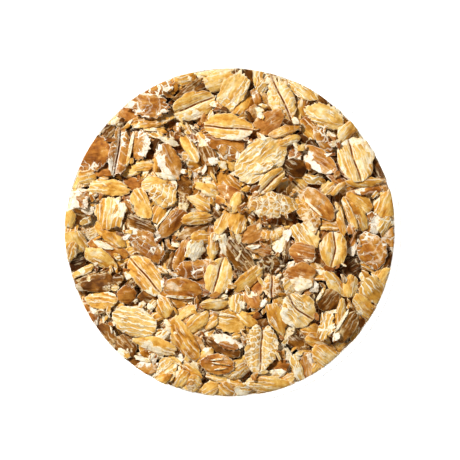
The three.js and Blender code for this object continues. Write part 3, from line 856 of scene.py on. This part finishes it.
def blank(laid, chance):
    """A flat flake in its own frame, as a closed mesh of two sides that share their edge.

    Returns the points in mm, the faces, and per point its side, share of the way to the edge,
    share of the way to the unbroken edge, distance from the fold, and places for its look."""
    flake = laid.flake
    half_length, half_width = flake.length / 2, flake.width / 2
    near = CREASE_CELLS if flake.crease and half_width > CREASE_ROOM else (0.0,)
    p, c = np.meshgrid(
        grid_places(half_length, laid.cell), grid_places(half_width, laid.cell, near), indexing="ij"
    )
    bow = chance.uniform(-0.12, 0.12) + chance.normal(0, 0.12) * p * p
    bow += 0.03 * np.sin(4.5 * p + chance.uniform(*ANY_PHASE))
    q = bow * (1 - np.abs(c)) + c
    u = p * np.sqrt(1 - q * q / 2)
    v = q * np.sqrt(1 - p * p / 2)
    share = np.hypot(u, v)
    angle = np.arctan2(v, u)
    edge = outline(angle, flake, laid.shard, chance)
    along = np.cos(angle) * edge
    across = np.sin(angle) * edge
    along *= half_length / np.abs(along).max()
    across *= half_width / np.abs(across).max()
    turn = math.radians(flake.turn)
    dx = along * math.cos(turn) - across * math.sin(turn)
    dy = along * math.sin(turn) + across * math.cos(turn)
    kept = inside_bowl(laid.x, laid.y, dx, dy)
    kept = np.interp(kept, (0, 1 + WALL_SPREAD, 1 + 2 * WALL_SPREAD), (0, 1 + WALL_SPREAD, 1))
    s = share * kept * along
    t = share * kept * across
    middle = q.shape[1] // 2
    bared = math.radians((chance.uniform(0, 360) if flake.side is None else flake.side) - flake.turn)
    lit = np.cos(bared) * s / half_length + np.sin(bared) * t / half_width
    starch = flake.starch + (0.22 if flake.side is None else 0.55) * lit * (flake.starch > 0.02)
    crease = flake.crease * (1 - 0.5 * p**6)
    facts = np.stack([share, share * kept, t - t[:, middle : middle + 1], starch, crease], axis=-1)

    rows, columns = p.shape
    number = np.arange(rows * columns).reshape(rows, columns)
    inner = np.zeros(number.shape, bool)
    inner[1:-1, 1:-1] = True
    under = number.copy()
    under[inner] = number.size + np.arange(inner.sum())
    top = np.stack(
        [number[:-1, :-1], number[1:, :-1], number[1:, 1:], number[:-1, 1:]], -1
    ).reshape(-1, 4)
    bottom = np.stack(
        [under[:-1, :-1], under[:-1, 1:], under[1:, 1:], under[1:, :-1]], -1
    ).reshape(-1, 4)
    flat = np.stack([s, t, np.zeros_like(s)], -1)
    points = np.concatenate([flat.reshape(-1, 3), flat[inner]])
    facts = np.concatenate([facts.reshape(-1, facts.shape[-1]), facts[inner]])
    thin = 0.7 if laid.shard else 1.0
    side = np.where(inner, thin, 0.0).ravel()
    side = np.concatenate([side, -thin * np.ones(inner.sum())])
    return points, np.concatenate([top, bottom]), side, facts


# A flake to lay: where its middle comes, its mesh's cell and how far it sinks in mm, and whether it
# is a broken piece.
Laid = namedtuple("Laid", "flake x y cell sink shard")


def shown_flakes():
    """The flakes of the picture. The list gives what shows of each, so the deeper ones are made
    larger to reach under their neighbours."""
    for i, flake in enumerate(SHOWN):
        x, y = from_picture(flake.x, flake.y)
        inward = min(1, (MOUTH_RADIUS - MIDDLE_ROOM) / math.hypot(x, y))
        more = 1 + HIDDEN_MORE * (1 - i / len(SHOWN))
        flake = flake._replace(length=flake.length * more, width=flake.width * more)
        cell = FINE_CELL if flake.length > SMALL_FLAKE else FINEST_CELL
        yield Laid(flake, x * inward, y * inward, cell, SHOWN_SINK, False)


def mixed_flakes(count, lengths, slimness, shard, chance):
    """Flakes or broken pieces at random places, with random looks."""
    for _ in range(count):
        radius = math.sqrt(chance.uniform(0, MIXED_RADIUS**2))
        place = chance.uniform(0, 2 * math.pi)
        length = chance.uniform(*lengths)
        flake = Shown(
            chance.choice(list(GRAIN_SHARES), p=list(GRAIN_SHARES.values())),
            None,
            None,
            length,
            length * chance.uniform(*slimness),
            chance.uniform(0, 360),
            crease=0 if shard else int(chance.uniform() < 0.4),
            starch=chance.uniform(0, 0.5) + 0.35 * (shard and chance.uniform() < 0.2),
            # darker on the whole than the shown ones: their own colour, and painted shade for flakes low in
            # the heap
            tone=chance.uniform(-0.8, 0.4),
            ladder=chance.uniform(0, 0.6),
            lean=chance.uniform(-35, 35) if chance.uniform() < (0.5 if shard else 0.2) else 0,
            rough=1.0,
        )
        x, y = radius * math.cos(place), radius * math.sin(place)
        yield Laid(flake, x, y, SHARD_CELL if shard else PLAIN_CELL, MIXED_SINK, shard)


# ------------------------------------------------------------------ flakes: their form
SMOOTH_UP_TO = math.radians(38)  # edges that bend less are shaded smooth
PATTERN_SPREAD = 400  # each flake takes its pattern from its own level, up to this high


def pressing_tree():
    """Geometry Nodes that press flat blanks into flakes: thickness with a rounded edge, two lobes
    and a crease, ripples of the bran and each flake's own curl."""
    tree = bpy.data.node_groups.new("press_flakes", "GeometryNodeTree")
    tree.is_modifier = True
    sockets = tree.interface
    sockets.new_socket("Geometry", in_out="INPUT", socket_type="NodeSocketGeometry")
    for name in PRESSING_SIZES:
        sockets.new_socket(name, in_out="INPUT", socket_type="NodeSocketFloat")
    sockets.new_socket("Material", in_out="INPUT", socket_type="NodeSocketMaterial")
    sockets.new_socket("Geometry", in_out="OUTPUT", socket_type="NodeSocketGeometry")
    given = add(tree, "NodeGroupInput").outputs
    read = {}
    for name, kind in (
        ("side", "FLOAT"),
        ("share", "FLOAT"),
        ("fold", "FLOAT"),
        ("spot", "FLOAT_VECTOR"),
        ("milled", "FLOAT_VECTOR"),
        ("curl", "FLOAT_VECTOR"),
    ):
        read[name] = add(tree, "GeometryNodeInputNamedAttribute", {"Name": name}, data_type=kind)
    spot = add(tree, "ShaderNodeSeparateXYZ", {0: read["spot"]})
    milled = add(tree, "ShaderNodeSeparateXYZ", {0: read["milled"]})

    # Half the thickness, full over most of the flake and rounded off at its edge.
    edge = maths(tree, "POWER", read["share"], 24.0)
    left = maths(tree, "SUBTRACT", 1.0, edge, clamp=True)
    fullness = maths(tree, "SQRT", left)
    half = maths(tree, "MULTIPLY", given["Thickness"], 0.5)
    shell = maths(tree, "MULTIPLY", half, fullness)
    height = maths(tree, "MULTIPLY", shell, read["side"])

    # A crown over the whole flake, on the upper side, much lower on a thin broken piece.
    upper = maths(tree, "MAXIMUM", read["side"], 0.0)
    whole = maths(tree, "POWER", upper, 4.0)
    squared = maths(tree, "POWER", read["share"], 2.0)
    crown = maths(tree, "SUBTRACT", 1.0, squared)
    crown = maths(tree, "MULTIPLY", crown, given["Crown"])
    height = maths(tree, "MULTIPLY_ADD", crown, whole, height)

    # The crease sinks as a narrow bell curve across the fold, in a wide and shallow valley.
    for bell in ("Crease", "Valley"):
        width, depth = given[f"{bell} Width"], given[f"{bell} Depth"]
        near = maths(tree, "DIVIDE", read["fold"], width)
        near = maths(tree, "MULTIPLY", near, near)
        near = maths(tree, "MULTIPLY", near, -1.0)
        bell = maths(tree, "EXPONENT", near)
        bell = maths(tree, "MULTIPLY", bell, spot.outputs["Y"])
        bell = maths(tree, "MULTIPLY", bell, fullness)
        bell = maths(tree, "MULTIPLY", bell, upper)
        depth = maths(tree, "MULTIPLY", depth, -1.0)
        height = maths(tree, "MULTIPLY_ADD", bell, depth, height)

    # Ripples of the bran, on both sides alike.
    fineness = maths(tree, "DIVIDE", 1.0, given["Ripple Length"])
    ripple = noise(tree, read["milled"], fineness, 2.0)
    ripple = maths(tree, "SUBTRACT", ripple, 0.5)
    twice = maths(tree, "MULTIPLY", given["Ripple"], 4.0)
    height = maths(tree, "MULTIPLY_ADD", ripple, twice, height)

    # Each flake's own curl along, across and twist.
    s, t = milled.outputs["X"], milled.outputs["Y"]
    squares = [maths(tree, "MULTIPLY", a, b) for a, b in ((s, s), (t, t), (s, t))]
    squares = add(tree, "ShaderNodeCombineXYZ", dict(enumerate(squares)))
    curl = add(tree, "ShaderNodeVectorMath", {0: squares, 1: read["curl"]}, operation="DOT_PRODUCT")
    height = maths(tree, "ADD", curl.outputs["Value"], height)
    move = add(tree, "ShaderNodeCombineXYZ", {2: height})
    pressed = add(tree, "GeometryNodeSetPosition", {"Geometry": given["Geometry"], "Offset": move})
    turn = add(tree, "GeometryNodeInputMeshEdgeAngle")
    gentle = add(tree, "FunctionNodeCompare", {0: turn, 1: SMOOTH_UP_TO}, operation="LESS_THAN")
    pressed = add(
        tree,
        "GeometryNodeSetShadeSmooth",
        {"Geometry": pressed, "Shade Smooth": gentle},
        domain="EDGE",
    )
    real = add(tree, "GeometryNodeRealizeInstances", {0: pressed})
    finished = add(
        tree, "GeometryNodeSetMaterial", {"Geometry": real, "Material": given["Material"]}
    )
    add(tree, "NodeGroupOutput", {0: finished})
    return tree


def through_tree(source, tree, name, values):
    """A plain mesh of the object after one Geometry Nodes tree."""
    modifier = source.modifiers.new("nodes", "NODES")
    modifier.node_group = tree
    for item in tree.interface.items_tree:
        if item.in_out == "INPUT" and item.name in values:
            modifier[item.identifier] = values[item.name]
    shown = source.evaluated_get(bpy.context.evaluated_depsgraph_get())
    mesh = bpy.data.meshes.new_from_object(shown)
    mesh.name = name
    source.modifiers.clear()
    return mesh


def put_attribute(mesh, name, values):
    vector = values.ndim == 2
    made = mesh.attributes.new(name, "FLOAT_VECTOR" if vector else "FLOAT", "POINT")
    made.data.foreach_set("vector" if vector else "value", values.astype(np.float32).ravel())


def pressed_flakes(grain, group, tree, chance):
    """All flakes of one grain as one mesh, each still in its own frame, in mm. Returns the mesh
    and where each flake's points start."""
    parts, faces, starts = [], [], [0]
    for laid in group:
        points, quads, side, facts = blank(laid, chance)
        own = chance.uniform(0, 1)
        count = len(points)
        size = max(laid.flake.length, 5.0) / 9.0
        curl = [chance.normal(-0.006, 0.012), chance.normal(-0.015, 0.03), chance.normal(0, 0.012)]
        curl = np.array(curl) / size
        one = np.ones(count)
        parts.append(
            {
                "co": points,
                "side": side,
                "share": facts[:, 0],
                "fold": facts[:, 2],
                "spot": np.column_stack([facts[:, 1], facts[:, 4], 0 * one]),
                "milled": points + [0, 0, own * PATTERN_SPREAD],
                "look": np.column_stack([facts[:, 3], laid.flake.tone * one, laid.flake.ladder * one]),
                "curl": np.tile(curl, (count, 1)),
            }
        )
        faces.append(quads + starts[-1])
        starts.append(starts[-1] + count)
    joined = {key: np.concatenate([part[key] for part in parts]) for key in parts[0]}
    blanks = mesh_object(f"{grain}_blanks", joined.pop("co"), np.concatenate(faces), None)
    for key, own_values in joined.items():
        put_attribute(blanks.data, key, own_values)
    values = dict(zip(PRESSING_SIZES, [*FORMS[grain][:-1], RIPPLE_LENGTH]))
    values["Material"] = flake_finish(grain)
    mesh = through_tree(blanks, tree, f"{grain}_flakes", values)
    bpy.data.objects.remove(blanks)
    return mesh, starts


# ------------------------------------------------------------------ flakes: how they lie
CELL = 0.25  # mm between heights of the heap's surface
SIDE = int(2 * (MOUTH_RADIUS + 2) / CELL)
SAMPLING = 1.6  # samples for each such cell along a mesh face
STEEPEST = 0.3  # slope at which a flake slides flat
FAR = 200.0
EXCHANGES = 80  # of contacts, at most
CONTACT_SLACK = 0.002
TINY = 1e-9


def cells_of(x, y):
    """Row and column of the height map at a place."""
    column = np.clip(np.rint(x / CELL + SIDE / 2).astype(int), 0, SIDE - 1)
    row = np.clip(np.rint(y / CELL + SIDE / 2).astype(int), 0, SIDE - 1)
    return row, column


def resting_plane(x, y, height):
    """The plane a + b x + c y that clears every point and is lowest at the middle: the way a
    flake comes to rest on three contacts round its middle. Contacts are exchanged one by one."""
    spread = np.array([[1, FAR, 0], [1, -FAR, FAR], [1, -FAR, -FAR]])
    places = np.vstack([spread, np.column_stack([np.ones_like(x), x, y])])
    level = np.concatenate([[-FAR] * 3, height])
    contacts = [0, 1, 2]
    for _ in range(EXCHANGES):
        corner = places[contacts]
        plane = np.linalg.solve(corner, level[contacts])
        above = level - places @ plane
        new = int(np.argmax(above))
        if above[new] < CONTACT_SLACK:
            break
        weight = np.linalg.solve(corner.T, np.array([1.0, 0.0, 0.0]))
        entering = np.linalg.solve(corner.T, places[new])
        ratio = np.where(entering > TINY, weight / np.maximum(entering, TINY), np.inf)
        contacts[int(np.argmin(ratio))] = new
    return plane


def lay(points, laid, surface):
    """Drops one pressed flake, given in its own frame, on the heap. Returns its points in mm."""
    turn = math.radians(laid.flake.turn)
    lean = math.radians(laid.flake.lean)
    s, t, h = points.T
    t, h = t * math.cos(lean) - h * math.sin(lean), t * math.sin(lean) + h * math.cos(lean)
    dx = s * math.cos(turn) - t * math.sin(turn)
    dy = s * math.sin(turn) + t * math.cos(turn)
    x, y = laid.x + dx, laid.y + dy
    below = surface[cells_of(x, y)]
    if laid.flake.lean:
        plane = np.array([np.max(below - h), 0.0, 0.0])
    else:
        plane = resting_plane(dx, dy, below - h)
    slope = math.hypot(plane[1], plane[2])
    if slope > STEEPEST:
        plane[1:] *= STEEPEST / slope
        plane[0] = np.max(below - h - dx * plane[1] - dy * plane[2])
    z = h + plane[0] + dx * plane[1] + dy * plane[2] - laid.sink
    return np.column_stack([x, y, z])


def raise_surface(surface, mesh_faces, placed, cell):
    """Writes a laid flake's faces into the height map, each face sampled finer than a map cell."""
    steps = max(2, math.ceil(SAMPLING * cell / CELL))
    share = (np.arange(steps) + 0.5) / steps
    a, b = (g.reshape(1, -1, 1) for g in np.meshgrid(share, share))
    corners = placed[mesh_faces]
    spread = (
        corners[:, 0, None] * (1 - a) * (1 - b)
        + corners[:, 1, None] * a * (1 - b)
        + corners[:, 2, None] * a * b
        + corners[:, 3, None] * (1 - a) * b
    ).reshape(-1, 3)
    rows, columns = cells_of(spread[:, 0], spread[:, 1])
    np.maximum.at(surface, (rows, columns), spread[:, 2])


CORE_DEPTH = 4.2  # the dark core, whose brown is painted shade, lies this far under the heap's mean surface
CORE_RELIEF = 1.2
CORE_BANK = 9.0  # within this of the wall it falls away, as the flakes there lie deeper
CORE_BANKED = -6.2  # by this, at the wall
CORE_GAP = 1.2  # between its edge and the mouth's radius
CORE_UNDERSIDE = [(0, 20.0), (MOUTH_RADIUS - 6, 22.0)]  # radius and height, clear of the bowl
CORE_RINGS = 44
CORE_SEGMENTS = 120


def core_relief(x, y):
    """Height of the core: the dome, lowered, with humps a few millimetres across."""
    humps = sum(
        math.cos(1.3 * k) * np.sin(0.52 * x * math.cos(k * 1.9) + 0.52 * y * math.sin(k * 1.9) + k)
        for k in range(1, 6)
    )
    radius = np.hypot(x, y)
    near_wall = np.clip((radius - MOUTH_RADIUS + CORE_BANK) / CORE_BANK, 0, 1)
    return dome(radius) - CORE_DEPTH + CORE_RELIEF * humps / 3 + CORE_BANKED * near_wall**2


def make_core():
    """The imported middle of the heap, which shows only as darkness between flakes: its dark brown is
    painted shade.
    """
    edge = MOUTH_RADIUS - CORE_GAP
    upper = [(edge * ring / CORE_RINGS, 0) for ring in range(CORE_RINGS, 0, -1)] + [(0, 0)]
    points, faces = turned(CORE_UNDERSIDE + upper, CORE_SEGMENTS)
    top = points[:, 2] == 0
    points[top, 2] = core_relief(points[top, 0], points[top, 1])
    core = mesh_object("grain_core", points * MM, faces, painted_depth_shade())
    keep_on(core, "cereal")


def empty_surface():
    """The height map before any flake is laid: the core's top."""
    axis = (np.arange(SIDE) - SIDE / 2) * CELL
    x, y = np.meshgrid(axis, axis)
    return core_relief(x, y)


def make_flakes():
    """Mixed flakes first, then the ones that the picture shows, with bits in the gaps of both."""
    chance = np.random.default_rng(HEAP_SEED)
    order = list(mixed_flakes(MIXED_FLAKES, FLAKE_LENGTH, FLAKE_SLIMNESS, False, chance))
    order += mixed_flakes(MIXED_BITS, BIT_LENGTH, BIT_SLIMNESS, True, chance)
    order += shown_flakes()
    first_gap_bit = len(order)
    order += mixed_flakes(GAP_BITS, GAP_LENGTH, BIT_SLIMNESS, True, chance)
    tree = pressing_tree()
    pressed, spans = {}, {}
    for grain in GRAIN_SHARES:
        group = [i for i, laid in enumerate(order) if laid.flake.grain == grain]
        mesh, starts = pressed_flakes(grain, [order[i] for i in group], tree, chance)
        points = np.empty(len(mesh.vertices) * 3, np.float32)
        mesh.vertices.foreach_get("co", points)
        corners = np.empty(len(mesh.polygons) * 4, np.int32)
        mesh.polygons.foreach_get("vertices", corners)
        pressed[grain] = (mesh, points.reshape(-1, 3).astype(float), corners.reshape(-1, 4))
        spans.update({i: (start, end) for i, start, end in zip(group, starts, starts[1:])})
    surface = empty_surface()
    flat = {grain: [] for grain in GRAIN_SHARES}
    for i, laid in enumerate(order):
        grain = laid.flake.grain
        start, end = spans[i]
        _, points, corners = pressed[grain]
        if laid.flake.x is None:
            laid = into_gap(laid, surface, GAP_TRIES if i >= first_gap_bit else MIXED_TRIES, chance)
        points[start:end] = lay(points[start:end], laid, surface)
        if laid.shard:
            flat[grain].append((start, end))
        own = corners[(corners[:, 0] >= start) & (corners[:, 0] < end)]
        raise_surface(surface, own, points, laid.cell)
    for grain in GRAIN_SHARES:
        mesh, points, corners = pressed[grain]
        mesh.vertices.foreach_set("co", (points * MM).astype(np.float32).ravel())
        smooth = np.ones(len(corners), bool)
        for start, end in flat[grain]:
            smooth[(corners[:, 0] >= start) & (corners[:, 0] < end)] = False
        mesh.polygons.foreach_set("use_smooth", smooth)
        mesh.update()
        flakes = bpy.data.objects.new(f"{grain}_flakes", mesh)
        bpy.context.scene.collection.objects.link(flakes)
        keep_on(flakes, "cereal")


def into_gap(laid, surface, tries, chance):
    """Moves a mixed flake or bit to the lowest of a few places near its own, as if shaken down. It
    stays where it is if it would not fit inside the wall at the others."""
    x = laid.x + chance.normal(0, SHAKE, tries)
    y = laid.y + chance.normal(0, SHAKE, tries)
    too_far = np.hypot(x, y) + laid.flake.length / 2 > MOUTH_RADIUS - WALL_GAP
    x[0], y[0], too_far[0] = laid.x, laid.y, False
    level = surface[cells_of(x, y)] - dome(np.hypot(x, y)) + FAR * too_far
    best = int(np.argmin(level))
    return laid._replace(x=x[best], y=y[best])


# ------------------------------------------------------------------ studio
TABLE_HALF = 3.0  # metres
TABLE_GLOW = 0.45  # how much light the ground throws
WORLD_GLOW = 0.17  # and the sky
# Each lamp's name, place and size in metres, power in watts, and whether it lights the bowl alone:
# one does, so that the lip is as white as the picture's ground.
LAMPS = (
    ("key", (-0.36, 0.33, 0.61), 0.12, 5.7, False),
    ("fill", (0.5, -0.4, 0.6), 0.6, 0.6, False),
    ("above", (0.0, 0.0, 0.7), 0.3, 6.0, True),
)


def make_studio():
    """A white ground and soft light, brightest from the picture's upper left. The ground is pure
    white to the camera and throws less light on the bowl, so that its form shows from the side."""
    material, tree, shader = new_material("white_table")
    shader.inputs["Base Color"].default_value = linear("#000000")
    shader.inputs["Specular IOR Level"].default_value = 0.0
    shader.inputs["Emission Color"].default_value = linear("#FFFFFF")
    seen = add(tree, "ShaderNodeLightPath").outputs["Is Camera Ray"]
    glow = mapped(tree, seen, 0.0, 1.0, TABLE_GLOW, 1.0)
    tree.links.new(glow.outputs[0], shader.inputs["Emission Strength"])
    half = TABLE_HALF
    corners = [(-half, -half, 0), (half, -half, 0), (half, half, 0), (-half, half, 0)]
    table = mesh_object("table", corners, [(0, 1, 2, 3)], material, smooth=False)
    world = bpy.data.worlds.new("studio")
    bpy.context.scene.world = world
    world.use_nodes = True
    tree = world.node_tree
    seen = add(tree, "ShaderNodeLightPath").outputs["Is Camera Ray"]
    colour = mixed_colour(tree, seen, linear("#FFEED6"), linear("#FFFFFF"))
    glow = mapped(tree, seen, 0.0, 1.0, WORLD_GLOW, 1.0)
    tree.links.new(colour, tree.nodes["Background"].inputs["Color"])
    tree.links.new(glow.outputs[0], tree.nodes["Background"].inputs["Strength"])
    bowl_alone = bpy.data.collections.new("bowl_alone")
    bowl_alone.objects.link(bpy.data.objects["porcelain_bowl"])
    for name, place, size, power, for_bowl in LAMPS:
        light = bpy.data.lights.new(name, "AREA")
        light.energy = power
        light.size = size
        lamp = bpy.data.objects.new(name, light)
        lamp.location = place
        aim = -lamp.location
        lamp.rotation_euler = aim.to_track_quat("-Z", "Y").to_euler()
        lamp.light_linking.receiver_collection = bowl_alone if for_bowl else None
        bpy.context.scene.collection.objects.link(lamp)
    bpy.context.scene.view_settings.view_transform = "Standard"
    bpy.context.scene.view_settings.look = "Medium High Contrast"


# ------------------------------------------------------------------ the object
make_bowl()
make_core()
make_flakes()
make_studio()
